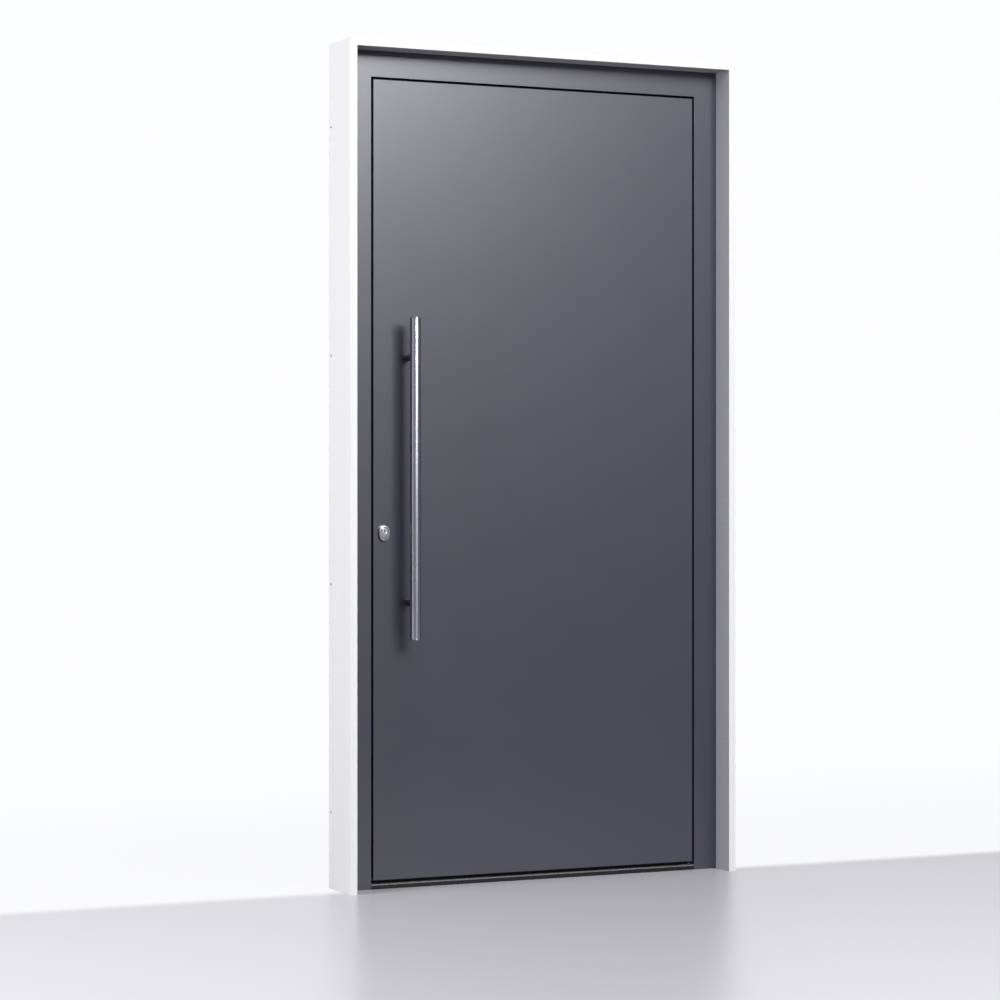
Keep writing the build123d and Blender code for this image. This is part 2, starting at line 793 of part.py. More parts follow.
def hinge_wing(side, z):
    """One wing of a hinge, screwed flat to the room side; side is +1 on the frame and -1 on the leaf."""
    near_x = hinge_x + side * hinge_wing_from_axis
    middle_x = near_x + side * hinge_wing_width / 2
    with BuildSketch(elevation(back_y + hinge_wing_thickness)) as wing:
        with Locations((middle_x, z)):
            Rectangle(hinge_wing_width, hinge_length)
        far_corners = wing.vertices().group_by(Axis.X)[-1 if side > 0 else 0]
        fillet(far_corners, hinge_wing_corner_radius)
    extrude(wing.sketch, amount=hinge_wing_thickness)


def hinge_knuckle(side, z_0, z_1):
    """One knuckle round the pin, with the web that joins it to its wing."""
    near_x = hinge_x + side * hinge_wing_from_axis
    web_y_0 = hinge_y - hinge_knuckle_radius
    with BuildSketch(Plane.XY.offset(z_0)) as knuckle:
        with Locations((hinge_x, hinge_y)):
            Circle(hinge_knuckle_radius)
        block(
            min(hinge_x, near_x),
            max(hinge_x, near_x),
            web_y_0,
            back_y + hinge_wing_thickness,
        )
        with Locations((hinge_x, hinge_y)):
            Circle(hinge_pin_radius + hinge_pin_clearance, mode=Mode.SUBTRACT)
    extrude(knuckle.sketch, amount=z_1 - z_0)


# Three hinges on the room side, each with two knuckles on the frame and one on the leaf
hinge_names = ("hinge_bottom", "hinge_middle", "hinge_top")
for name, z in zip(hinge_names, hinge_heights):
    low_z = z - hinge_length / 2
    high_z = z + hinge_length / 2
    with BuildPart() as frame_wing:
        hinge_wing(1, z)
        hinge_knuckle(1, low_z, low_z + hinge_outer_knuckle_length)
        hinge_knuckle(1, high_z - hinge_outer_knuckle_length, high_z)
    save(frame_wing, f"{name}_frame_wing")
    with BuildPart() as leaf_wing:
        hinge_wing(-1, z)
        hinge_knuckle(
            -1,
            low_z + hinge_outer_knuckle_length + hinge_play,
            high_z - hinge_outer_knuckle_length - hinge_play,
        )
    save(leaf_wing, f"{name}_leaf_wing")

with BuildPart() as hinge_pins:
    for z in hinge_heights:
        high_z = z + hinge_length / 2
        with BuildSketch(Plane.XY.offset(z - hinge_length / 2)):
            with Locations((hinge_x, hinge_y)):
                Circle(hinge_pin_radius)
        extrude(amount=hinge_length)
        with BuildSketch(Plane.XY.offset(high_z)):
            with Locations((hinge_x, hinge_y)):
                Circle(hinge_knuckle_radius)
        extrude(amount=hinge_cap_height)
save(hinge_pins, "hinge_pins")
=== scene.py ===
# %% [markdown]
# # A flush entry door, dressed for a picture
#
# The door was built first as solids, in millimetres, and packed as a fixed model. This script loads that
# model and gives it its looks: light, finishes, and smooth round metal where flat facets would show.
# Everything is in metres, in the model's own frame. X runs to the right as seen from outside, Y runs
# into the building and Z runs up, with the origin under the middle of the threshold.

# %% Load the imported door
import json
import math

import bmesh
import bpy
from mathutils import Matrix, Vector

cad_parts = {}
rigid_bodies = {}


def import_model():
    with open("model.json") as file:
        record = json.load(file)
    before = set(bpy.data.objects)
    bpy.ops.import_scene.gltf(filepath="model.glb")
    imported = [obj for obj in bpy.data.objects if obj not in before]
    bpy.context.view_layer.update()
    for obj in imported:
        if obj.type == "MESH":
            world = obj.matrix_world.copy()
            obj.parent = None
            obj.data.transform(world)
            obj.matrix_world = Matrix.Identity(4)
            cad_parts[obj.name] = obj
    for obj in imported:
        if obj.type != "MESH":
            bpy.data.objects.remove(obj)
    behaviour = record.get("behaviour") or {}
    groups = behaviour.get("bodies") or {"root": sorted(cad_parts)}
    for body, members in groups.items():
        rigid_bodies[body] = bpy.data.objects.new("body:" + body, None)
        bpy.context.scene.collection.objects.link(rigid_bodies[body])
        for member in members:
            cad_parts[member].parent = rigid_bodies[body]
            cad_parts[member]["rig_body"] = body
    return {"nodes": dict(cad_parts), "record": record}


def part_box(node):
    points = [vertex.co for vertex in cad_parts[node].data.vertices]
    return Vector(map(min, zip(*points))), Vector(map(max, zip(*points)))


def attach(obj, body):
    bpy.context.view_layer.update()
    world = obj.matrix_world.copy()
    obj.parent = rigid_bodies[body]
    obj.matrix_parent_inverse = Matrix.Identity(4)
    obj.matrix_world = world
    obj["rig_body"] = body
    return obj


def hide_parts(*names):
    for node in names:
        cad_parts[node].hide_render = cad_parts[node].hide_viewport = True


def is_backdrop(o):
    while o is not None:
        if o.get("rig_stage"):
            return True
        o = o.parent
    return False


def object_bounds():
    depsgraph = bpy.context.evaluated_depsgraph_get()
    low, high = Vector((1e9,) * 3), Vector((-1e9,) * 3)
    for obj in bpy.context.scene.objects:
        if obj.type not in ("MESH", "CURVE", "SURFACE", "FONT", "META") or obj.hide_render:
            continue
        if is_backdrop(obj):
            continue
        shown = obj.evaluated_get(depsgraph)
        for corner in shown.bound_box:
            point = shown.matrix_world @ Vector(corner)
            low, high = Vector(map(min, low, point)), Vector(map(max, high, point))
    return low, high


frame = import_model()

MM = 0.001
scene = bpy.context.scene
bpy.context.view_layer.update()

# %% [markdown]
# ## The camera
#
# A camera could be placed by eye, but here its place was worked out from straight edges of the door: the
# four corners of the opening give the direction, the distance and the lens. It stands 1.07 m above the
# floor and looks level, so upright edges stay upright. The small shift lowers the frame a little, as in
# the photograph, without tilting the camera.

# %% Camera
CAMERA_PLACE = (-3.4285, -7.2022, 1.066)
CAMERA_TURN = -24.86
CAMERA_LENS = 106.3
CAMERA_SHIFT = -0.017
SENSOR_WIDTH = 36

camera_data = bpy.data.cameras.new("camera")
camera_data.lens = CAMERA_LENS
camera_data.sensor_width = SENSOR_WIDTH
camera_data.shift_y = CAMERA_SHIFT
camera = bpy.data.objects.new("camera", camera_data)
camera.location = CAMERA_PLACE
camera.rotation_euler = (math.radians(90), 0, math.radians(CAMERA_TURN))
scene.collection.objects.link(camera)
scene.camera = camera
print("camera", CAMERA_PLACE, "lens", CAMERA_LENS, "mm")

# %% [markdown]
# ## The lamps
#
# The door stands in soft studio light. One wide, high softbox in front and a little to the right does most
# of the work: the satin coating mirrors it as a broad glow at the top left of the leaf, and it gives the
# pull bar its bright stripe and its soft shadow. The reveal's side faces turn away from it, so a weaker
# softbox far to the left lifts them. It is tall, and its upper half lies above the door, so the soffit
# shades the top of the reveal softly.

# %% Lamps
KEY_PLACE = (0.55, -6.5, 4.6)
KEY_SIZE = (3.6, 2.8)
KEY_POWER = 770
FILL_PLACE = (-5.0, -0.9, 2.3)
FILL_SIZE = (2.2, 3.8)
FILL_POWER = 325
DOOR_MIDDLE = Vector((0, 0, 1.1))


def softbox(name, place, size, power, mirrored):
    """A rectangular area lamp that faces the middle of the door; metal may mirror it or not."""
    aim = DOOR_MIDDLE - Vector(place)
    data = bpy.data.lights.new(name, "AREA")
    data.shape = "RECTANGLE"
    data.size, data.size_y = size
    data.energy = power
    lamp = bpy.data.objects.new(name, data)
    lamp.location = place
    lamp.rotation_euler = aim.to_track_quat("-Z", "Y").to_euler()
    lamp.visible_camera = False
    lamp.visible_glossy = mirrored
    scene.collection.objects.link(lamp)
    print(f"{name}: {size[0]} x {size[1]} m, {power} W, {aim.length:.1f} m away")


softbox("key_softbox", KEY_PLACE, KEY_SIZE, KEY_POWER, mirrored=True)
softbox("fill_softbox", FILL_PLACE, FILL_SIZE, FILL_POWER, mirrored=False)

# %% [markdown]
# ## Nodes from code
#
# The world, the finishes and the Geometry Nodes below are all trees of nodes. They could be drawn by hand in
# an editor, but a script is easier to read again and to change. One helper adds a node with its settings and
# feeds its inputs, each with a plain value or with the output of another node. A few short ones build on it.

# %% Steps that all trees share
def add(tree, kind, inputs=None, **settings):
    """Add a node, make its settings, and feed its inputs with plain values or other nodes' outputs."""
    node = tree.nodes.new(kind)
    for name, setting in settings.items():
        setattr(node, name, setting)
    for label, value in (inputs or {}).items():
        if isinstance(value, bpy.types.NodeSocket):
            tree.links.new(value, node.inputs[label])
        else:
            node.inputs[label].default_value = value
    return node


def maths(tree, operation, *values):
    """The result of a math node on sockets or plain numbers."""
    return add(tree, "ShaderNodeMath", dict(enumerate(values)), operation=operation).outputs[0]


def soft_step(tree, value, start, end, top=1.0):
    """A value's smooth rise from 0 at start to a top at end."""
    inputs = {"Value": value, "From Min": start, "From Max": end, "To Max": top}
    return add(tree, "ShaderNodeMapRange", inputs, interpolation_type="SMOOTHSTEP").outputs["Result"]


def mix_colours(tree, share, first, second):
    """A mix of two colours, from the first at a share of 0 to the second at 1."""
    inputs = {"Factor": share, "A": first, "B": second}
    return add(tree, "ShaderNodeMix", inputs, data_type="RGBA").outputs["Result"]


def coordinates(tree, kind):
    """The X, Y and Z of one kind of texture coordinates."""
    place = add(tree, "ShaderNodeTexCoord").outputs[kind]
    return add(tree, "ShaderNodeSeparateXYZ", {0: place}).outputs


# %% [markdown]
# ## The world
#
# The world is a plain grey studio for the matt finishes. Where the camera looks past the door it is white,
# and polished metal sees that same white behind the object and the grey studio in front. Metal also sees
# that the studio is dark at the far right and bright at the far left, where a window would be: that gives
# the round bar its dark right edge and the thin bright line down its left edge.

# %% World
STUDIO_GREY = (0.380, 0.380, 0.390, 1)
DARK_SIDE_GREY = (0.12, 0.12, 0.125, 1)
BRIGHT_SIDE_GREY = (1.2, 1.2, 1.22, 1)
BACKGROUND_WHITE = (0.98, 0.985, 1.0, 1)
BEHIND = (-0.15, 0.15)
FAR_RIGHT = (0.55, 0.90)
FAR_LEFT = (-0.90, -0.99)

world = bpy.data.worlds.new("studio")
scene.world = world
world.use_nodes = True
tree = world.node_tree
tree.nodes.clear()
direction = coordinates(tree, "Generated")
ray = add(tree, "ShaderNodeLightPath").outputs
dark_share = maths(tree, "MULTIPLY", soft_step(tree, direction["X"], *FAR_RIGHT), ray["Is Glossy Ray"])
bright_share = maths(tree, "MULTIPLY", soft_step(tree, direction["X"], *FAR_LEFT), ray["Is Glossy Ray"])
studio = mix_colours(tree, dark_share, STUDIO_GREY, DARK_SIDE_GREY)
studio = mix_colours(tree, bright_share, studio, BRIGHT_SIDE_GREY)
mirror_ray = maths(tree, "MAXIMUM", ray["Is Glossy Ray"], ray["Is Transmission Ray"])
mirror_white = maths(tree, "MULTIPLY", mirror_ray, soft_step(tree, direction["Y"], *BEHIND))
white_share = maths(tree, "MAXIMUM", ray["Is Camera Ray"], mirror_white)
tone = mix_colours(tree, white_share, studio, BACKGROUND_WHITE)
background = add(tree, "ShaderNodeBackground", {"Color": tone, "Strength": 1.0})
add(tree, "ShaderNodeOutputWorld", {0: background.outputs[0]})
scene.view_settings.view_transform = "Standard"
print("world: grey", STUDIO_GREY[:3], "for matt finishes, white behind the object")

# %% [markdown]
# ## The floor
#
# The floor is one plain pale plane that keeps the door's shadow. It is a little glossy: seen at a low
# angle it mirrors the dark door, so it is darker in front of the leaf. Outside the reveal, and behind the
# line of its front edges, its own colour fades to the white of the background, through Is Camera Ray, so no
# extra light is needed. Far in front of the door it fades to white as well, so a view from the room side has
# no grey horizon. Metal sees the floor grow dark further in front of the door, as in a studio where only the
# set is lit.

# %% Floor
FLOOR_REACH = 30.0
FLOOR_COLOUR = (0.380, 0.373, 0.398, 1)
UNLIT_FLOOR = (0.06, 0.06, 0.062, 1)
FLOOR_ROUGHNESS = 0.30
OPENING_HALF_WIDTH = 0.56
FRONT_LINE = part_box("reveal_board_left")[0].y
NEAR_FADE = (FRONT_LINE, FRONT_LINE + 0.10, 0.9)
FAR_FADE = (0.3, 3.0, 0.1)
FRONT_FADE = (-2.6, -5.0)
LIGHT_ENDS = (-0.6, -2.2)

floor_mesh = bpy.data.meshes.new("studio_floor")
corners = [(x * FLOOR_REACH, y * FLOOR_REACH, 0) for x, y in ((-1, -1), (1, -1), (1, 1), (-1, 1))]
floor_mesh.from_pydata(corners, [], [(0, 1, 2, 3)])
floor = bpy.data.objects.new("studio_floor", floor_mesh)
scene.collection.objects.link(floor)
floor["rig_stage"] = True

floor_stuff = bpy.data.materials.new("floor_pale")
floor_stuff.use_nodes = True
tree = floor_stuff.node_tree
matt = tree.nodes["Principled BSDF"]
matt.inputs["Roughness"].default_value = FLOOR_ROUGHNESS
place = coordinates(tree, "Object")
ray = add(tree, "ShaderNodeLightPath").outputs
near_fade = soft_step(tree, place["Y"], *NEAR_FADE)
back_fade = maths(tree, "ADD", near_fade, soft_step(tree, place["Y"], *FAR_FADE))
beside_door = maths(tree, "GREATER_THAN", maths(tree, "ABSOLUTE", place["X"]), OPENING_HALF_WIDTH)
behind_door = maths(tree, "GREATER_THAN", place["Y"], 0.0)
outside_reveal = maths(tree, "MAXIMUM", beside_door, behind_door)
back_fade = maths(tree, "MULTIPLY", back_fade, outside_reveal)
any_fade = maths(tree, "MAXIMUM", back_fade, soft_step(tree, place["Y"], *FRONT_FADE))
white_share = maths(tree, "MULTIPLY", any_fade, ray["Is Camera Ray"])
unlit_share = maths(tree, "MULTIPLY", soft_step(tree, place["Y"], *LIGHT_ENDS), ray["Is Glossy Ray"])
tree.links.new(mix_colours(tree, unlit_share, FLOOR_COLOUR, UNLIT_FLOOR), matt.inputs["Base Color"])
own_white = add(tree, "ShaderNodeEmission", {"Color": BACKGROUND_WHITE})
surface = add(tree, "ShaderNodeMixShader", {0: white_share, 1: matt.outputs[0], 2: own_white.outputs[0]})
tree.links.new(surface.outputs[0], tree.nodes["Material Output"].inputs["Surface"])
floor_mesh.materials.append(floor_stuff)
print("floor: one plane of", 2 * FLOOR_REACH, "m, white behind Y =", round(FRONT_LINE, 4))

# %% [markdown]
# ## Finishes
#
# Each finish is a small tree of nodes on a Principled shader. The patterns read Object coordinates: every
# piece keeps its place in its mesh, so a grain of one millimetre is one millimetre on each of them, and it
# doesn't swim when the leaf swings. The finishes share a noise and three steps that follow it: a tone that
# moves up and down from the plain colour, a roughness that does the same, and a bump.

# %% Steps that the finishes share
NOISE_LOW = 0.3
NOISE_HIGH = 0.7


def shader_input(material, label):
    """One input of a material's Principled shader."""
    return material.node_tree.nodes["Principled BSDF"].inputs[label]


def finish(name, colour, roughness, metallic=0.0, specular=0.5):
    """A new material with its plain values set on the shader itself."""
    material = bpy.data.materials.new(name)
    material.use_nodes = True
    shader_input(material, "Base Color").default_value = (*colour, 1)
    shader_input(material, "Roughness").default_value = roughness
    shader_input(material, "Metallic").default_value = metallic
    shader_input(material, "Specular IOR Level").default_value = specular
    print("finish", name, "colour", colour, "roughness", roughness)
    return material


def object_noise(material, waves, stretch=(1, 1, 1), detail=2.0):
    """A noise on Object coordinates, with its waves per metre and a stretch for each axis."""
    tree = material.node_tree
    place = add(tree, "ShaderNodeTexCoord").outputs["Object"]
    mapping = add(tree, "ShaderNodeMapping", {"Vector": place, "Scale": stretch})
    inputs = {"Vector": mapping.outputs[0], "Scale": waves, "Detail": detail}
    return add(tree, "ShaderNodeTexNoise", inputs).outputs["Fac"]


def vary_tone(material, noise, share):
    """Let the colour move by a share, up and down, with a noise; returns the varied colour."""
    colour = shader_input(material, "Base Color").default_value[:3]
    darker = (*[c * (1 - share) for c in colour], 1)
    paler = (*[c * (1 + share) for c in colour], 1)
    tone = mix_colours(material.node_tree, noise, darker, paler)
    material.node_tree.links.new(tone, shader_input(material, "Base Color"))
    return tone


def vary_roughness(material, noise, step):
    """Let the roughness move by a step, up and down, with a noise."""
    middle = shader_input(material, "Roughness").default_value
    inputs = {"Value": noise, "From Min": NOISE_LOW, "From Max": NOISE_HIGH}
    inputs.update({"To Min": middle - step, "To Max": middle + step})
    varied = add(material.node_tree, "ShaderNodeMapRange", inputs).outputs["Result"]
    material.node_tree.links.new(varied, shader_input(material, "Roughness"))


def add_bump(material, noise, height):
    """A bump whose full height is given in metres."""
    inputs = {"Height": noise, "Distance": height, "Strength": 1.0}
    bump = add(material.node_tree, "ShaderNodeBump", inputs).outputs["Normal"]
    material.node_tree.links.new(bump, shader_input(material, "Normal"))


# %% [markdown]
# ### Powder coating
#
# The frame, the leaf and the hinges are aluminium with a satin anthracite powder coating. Powder is sprayed
# dry and melted in an oven, which leaves a fine orange-peel skin about a millimetre wide, and a faint
# sparkle of tone. So it gets a shallow bump, a slight change of tone and a roughness near one third.

# %% Powder coating
COAT_COLOUR = (0.0225, 0.0225, 0.034)
COAT_GLOSS_TINT = (0.94, 0.94, 1.0, 1)
COAT_ROUGHNESS = 0.327


def powder_coat(name):
    """Satin powder coating with a fine orange-peel skin."""
    coat = finish(name, COAT_COLOUR, COAT_ROUGHNESS, specular=1.0)
    shader_input(coat, "Specular Tint").default_value = COAT_GLOSS_TINT
    vary_tone(coat, object_noise(coat, waves=900, detail=4), share=0.10)
    vary_roughness(coat, object_noise(coat, waves=14, detail=3), step=0.007)
    add_bump(coat, object_noise(coat, waves=700), height=0.006 * MM)
    return coat


coat_frame = powder_coat("powder_coat_frame")
coat_leaf = powder_coat("powder_coat_leaf")
coat_hinge = powder_coat("powder_coat_hinge")

# %% [markdown]
# ### Plaster on the reveal
#
# The reveal is lined with rubbed plaster on the faces that look into the opening. Its grain is a few
# millimetres wide, so it gets a real bump and blotches of tone. The front edges and the outer faces, which
# are covered once the door is built in, are plain and pale. A mask tells them apart by place: the lined
# faces are those that lie no further out than the clear opening.

# %% Plaster
LINED_HALF_WIDTH = 0.5502
LINED_HEIGHT = 2.2002
PLASTER_COLOUR = (0.235, 0.235, 0.262)
EDGE_COLOUR = (0.49, 0.49, 0.495, 1)

plaster = finish("plaster_lining", PLASTER_COLOUR, roughness=0.9, specular=0.2)
blotches = vary_tone(plaster, object_noise(plaster, waves=160, detail=5), share=0.22)
tree = plaster.node_tree
place = coordinates(tree, "Object")
within_width = maths(tree, "LESS_THAN", maths(tree, "ABSOLUTE", place["X"]), LINED_HALF_WIDTH)
within_height = maths(tree, "LESS_THAN", place["Z"], LINED_HEIGHT)
lined = maths(tree, "MULTIPLY", within_width, within_height)
tree.links.new(mix_colours(tree, lined, EDGE_COLOUR, blotches), shader_input(plaster, "Base Color"))
add_bump(plaster, object_noise(plaster, waves=300, detail=6), height=0.5 * MM)

# %% [markdown]
# ### Bare metals
#
# The pull bar and the shields are stainless steel, ground with a belt. The grinding leaves fine lines,
# across the bar and level on the flat pieces, which spread the reflection. The lines are a noise that is
# stretched along them: it changes fast across the lines and slowly along them. Their tone and depth are
# faint, because from a few metres the metal looks smooth, and the gloss changes only in wide, soft patches.

# %% Ground steel and other metals
BAR_COLOUR = (0.485, 0.485, 0.555)
SHIELD_COLOUR = (0.57, 0.57, 0.60)
LOCK_COLOUR = (0.52, 0.52, 0.53)
NICKEL_COLOUR = (0.74, 0.74, 0.75)
POST_COLOUR = (0.14, 0.14, 0.15)
LONG_LINES = (20, 20, 3000)
SHORT_LINES = (40, 40, 2500)
EVEN_GRAIN = (900, 900, 900)
QUARTER_TURN = 0.25


def ground_metal(name, colour, roughness, stretch, depth, drawn_out=0.0):
    """Metal with fine grinding lines; drawn_out lengthens the reflection across lines round a rod."""
    metal = finish(name, colour, roughness, metallic=1.0)
    shader_input(metal, "Anisotropic").default_value = drawn_out
    shader_input(metal, "Anisotropic Rotation").default_value = QUARTER_TURN
    lines = object_noise(metal, 1.0, stretch, detail=3)
    vary_tone(metal, lines, share=0.03)
    vary_roughness(metal, object_noise(metal, waves=12), step=0.01)
    add_bump(metal, lines, depth)
    return metal


steel_bar = ground_metal("ground_steel_bar", BAR_COLOUR, 0.27, LONG_LINES, 0.0001 * MM, drawn_out=0.6)
steel_shield = ground_metal("ground_steel_shield", SHIELD_COLOUR, 0.25, SHORT_LINES, 0.001 * MM)
steel_lock = ground_metal("ground_steel_lock", LOCK_COLOUR, 0.34, LONG_LINES, 0.002 * MM)
nickel = ground_metal("satin_nickel", NICKEL_COLOUR, 0.30, SHORT_LINES, 0.001 * MM)
# The posts get a plain dark metal colour, much darker than the bar.
dark_post = ground_metal("dark_post_metal", POST_COLOUR, 0.50, EVEN_GRAIN, 0.001 * MM)

# %% [markdown]
# ### Threshold, plastic, rubber and foam
#
# The threshold is dark anodised aluminium, worn a little smoother than the coating. A mask on the height
# mixes in a paler tone on all that lies near the top: a painted highlight on its top and on the rounded
# edge of its nose, which shows as a thin light line under the leaf. The thermal bars are black plastic, the
# gaskets are matt black rubber, and the core is pale foam.

# %% Threshold, plastic, rubber and foam
SILL_COLOUR = (0.004, 0.004, 0.006)
# The paler colour below is a painted highlight for the top and the nose of the threshold.
PAINTED_HIGHLIGHT_COLOUR = (0.10, 0.10, 0.105, 1)
SILL_LINES = (8, 500, 500)
sill_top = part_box("threshold_outer_sill")[1].z
highlight_starts, highlight_is_full = sill_top - 3.5 * MM, sill_top - 2.0 * MM

sill_metal = finish("threshold_anodised", SILL_COLOUR, roughness=0.28, specular=0.4)
sill_tone = vary_tone(sill_metal, object_noise(sill_metal, 1.0, SILL_LINES, detail=3), share=0.15)
vary_roughness(sill_metal, object_noise(sill_metal, waves=60), step=0.03)
tree = sill_metal.node_tree
# Painted highlight: the paler tone rises over the last few millimetres below the top of the sill.
highlight_share = soft_step(tree, coordinates(tree, "Object")["Z"], highlight_starts, highlight_is_full)
sill_with_highlight = mix_colours(tree, highlight_share, sill_tone, PAINTED_HIGHLIGHT_COLOUR)
tree.links.new(sill_with_highlight, shader_input(sill_metal, "Base Color"))
# The height printed here is where the painted highlight begins.
print("threshold: rubbed above", round(highlight_starts, 4), "m")

PLASTIC_AND_KEYWAY_SHADE_COLOUR = (0.012, 0.012, 0.013)
# This black finish is also painted shade on the inside faces of the cylinder's keyways.
black_plastic_and_keyway_shade = finish("black_plastic_and_keyway_shade", PLASTIC_AND_KEYWAY_SHADE_COLOUR, roughness=0.55)
vary_roughness(black_plastic_and_keyway_shade, object_noise(black_plastic_and_keyway_shade, waves=300), step=0.07)
add_bump(black_plastic_and_keyway_shade, object_noise(black_plastic_and_keyway_shade, waves=900), height=0.01 * MM)

RUBBER_COLOUR = (0.008, 0.008, 0.008)
rubber = finish("seal_rubber", RUBBER_COLOUR, roughness=0.75, specular=0.3)
vary_tone(rubber, object_noise(rubber, waves=200), share=0.3)
add_bump(rubber, object_noise(rubber, waves=1200), height=0.01 * MM)

FOAM_COLOUR = (0.75, 0.70, 0.50)
foam = finish("core_foam", FOAM_COLOUR, roughness=0.95, specular=0.1)
foam_cells = object_noise(foam, waves=700, detail=4)
vary_tone(foam, foam_cells, share=0.12)
add_bump(foam, foam_cells, height=0.3 * MM)

# %% [markdown]
# ## The finishes go on the solids
#
# The record names a material slot for each solid, so one small table from slot to finish is enough. A solid
# with flat faces keeps its shape as it is: it needs nothing but its finish.

# %% Assign the finishes
FINISH_OF_SLOT = {
    "frame_coat": coat_frame,
    "leaf_coat": coat_leaf,
    "hinge_metal": coat_hinge,
    "reveal_lining": plaster,
    "threshold_metal": sill_metal,
    "thermal_break": black_plastic_and_keyway_shade,
    "seal_rubber": rubber,
    "foam": foam,
    "handle_steel": steel_bar,
    "shield_steel": steel_shield,
    "lock_steel": steel_lock,
    "cylinder_nickel": nickel,
    "dark_post": dark_post,
}
slot_of = {subpart["node"]: subpart["material_slot"] for subpart in frame["record"]["subparts"]}
for node, solid in frame["nodes"].items():
    solid.data.materials.clear()
    solid.data.materials.append(FINISH_OF_SLOT[slot_of[node]])
print(len(slot_of), "solids have one of", len(FINISH_OF_SLOT), "finishes")


def keep_piece(piece, node):
    """Hand a finished piece to the body of the node that it stands for, and hide that node."""
    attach(piece, frame["nodes"][node]["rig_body"])
    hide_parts(node)
    print(piece.name, "replaces", node, "with", len(piece.data.polygons), "faces")


# %% [markdown]
# ## Smooth copies of small solids
#
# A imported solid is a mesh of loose, flat triangles, which is right for a plane but shows facets on a round
# edge. A copy can be welded and shaded smooth, with edges sharper than an angle kept crisp. On the hinges,
# plates and bolts a narrow bevel then breaks the sharp edges, as a file or a tumbler does on the real parts,
# and catches a line of light.

# %% Smooth copies
SHARP_ANGLE = math.radians(32)
FLAT_ANGLE = math.radians(1)
WELD_DISTANCE = 0.001 * MM
HINGE_LEVELS = ("bottom", "middle", "top")
LOCK_PLATES = ("strike_plate_lock", "strike_plates_hooks", "lock_faceplate")
LOCK_BOLTS = ("dead_bolt", "latch_bolt", "hook_bolts")


def shade(mesh):
    """Smooth shading, with sharp edges kept sharp."""
    mesh.polygons.foreach_set("use_smooth", [True] * len(mesh.polygons))
    mesh.set_sharp_from_angle(angle=SHARP_ANGLE)


def new_piece(name, mesh):
    """A new object in the scene that holds a mesh."""
    piece = bpy.data.objects.new(name, mesh)
    scene.collection.objects.link(piece)
    return piece


def as_plain_mesh(piece):
    """Bake a piece's modifiers into a mesh of its own."""
    bpy.context.view_layer.update()
    evaluated = piece.evaluated_get(bpy.context.evaluated_depsgraph_get())
    mesh = bpy.data.meshes.new_from_object(evaluated)
    piece.modifiers.clear()
    piece.data = mesh
    return piece


def smooth_copy(node, edge_break=0.0):
    """A welded, smooth copy of one solid, with broken edges if their width is given."""
    mesh = frame["nodes"][node].data.copy()
    welded = bmesh.new()
    welded.from_mesh(mesh)
    bmesh.ops.remove_doubles(welded, verts=welded.verts, dist=WELD_DISTANCE)
    bmesh.ops.dissolve_limit(welded, angle_limit=FLAT_ANGLE, verts=welded.verts, edges=welded.edges)
    welded.to_mesh(mesh)
    welded.free()
    shade(mesh)
    piece = new_piece(f"{node}_smooth", mesh)
    if edge_break:
        bevel = piece.modifiers.new("edge_break", "BEVEL")
        bevel.width = edge_break
        bevel.segments = 2
        bevel.limit_method = "ANGLE"
        bevel.angle_limit = SHARP_ANGLE
        bevel.harden_normals = True
        as_plain_mesh(piece)
    keep_piece(piece, node)


for level in HINGE_LEVELS:
    for half in ("frame", "leaf"):
        smooth_copy(f"hinge_{level}_{half}_wing", edge_break=0.4 * MM)
for node in LOCK_PLATES + LOCK_BOLTS:
    smooth_copy(node, edge_break=0.25 * MM)
smooth_copy("threshold_outer_sill")

# %% [markdown]
# ## Turned pieces from one Geometry Nodes tree
#
# The pull bar, its end caps, its posts with their collars and the hinge pins are all rods with rounded rims.
# They differ only in length, radius and rounding, so one tree makes them all. It draws a line of a few
# points, moves them to follow a quarter circle at each end, and sweeps a circle along the line whose
# size follows the same rule. A modifier's inputs are set by their identifiers before the first run.

# %% The start and the end of every tree
def new_tree(name, inputs):
    """An empty tree with named inputs; returns it with its inputs' sockets and their identifiers."""
    tree = bpy.data.node_groups.new(name, "GeometryNodeTree")
    tree.interface.new_socket("Geometry", in_out="INPUT", socket_type="NodeSocketGeometry")
    tree.interface.new_socket("Geometry", in_out="OUTPUT", socket_type="NodeSocketGeometry")
    identifiers = {}
    for label, kind in inputs.items():
        socket = tree.interface.new_socket(label, in_out="INPUT", socket_type="NodeSocket" + kind)
        identifiers[label] = socket.identifier
    return tree, add(tree, "NodeGroupInput").outputs, identifiers


def end_tree(tree, geometry, material):
    """Make the instances real, dress them and hand them out."""
    real = add(tree, "GeometryNodeRealizeInstances", {0: geometry}).outputs[0]
    dressed = add(tree, "GeometryNodeSetMaterial", {"Geometry": real, "Material": material})
    add(tree, "NodeGroupOutput", {0: dressed.outputs[0]})
    print(tree.name, "has", len(tree.nodes), "nodes")


# %% A tree for rods with rounded rims
ROD_SOCKETS = {
    "Length": "Float",
    "Radius": "Float",
    "Rounding": "Float",
    "Rim Points": "Int",
    "Sides": "Int",
    "Finish": "Material",
}
rod_tree, given, ROD_INPUTS = new_tree("rod_with_rounded_rims", ROD_SOCKETS)
count = maths(rod_tree, "MULTIPLY", given["Rim Points"], 2)
index = add(rod_tree, "GeometryNodeInputIndex").outputs[0]
from_far_end = maths(rod_tree, "SUBTRACT", maths(rod_tree, "SUBTRACT", count, 1), index)
step = maths(rod_tree, "MINIMUM", index, from_far_end)
quarter = maths(rod_tree, "DIVIDE", math.pi / 2, maths(rod_tree, "SUBTRACT", given["Rim Points"], 1))
angle = maths(rod_tree, "MULTIPLY", step, quarter)
short_of_one = maths(rod_tree, "SUBTRACT", 1, maths(rod_tree, "COSINE", angle))
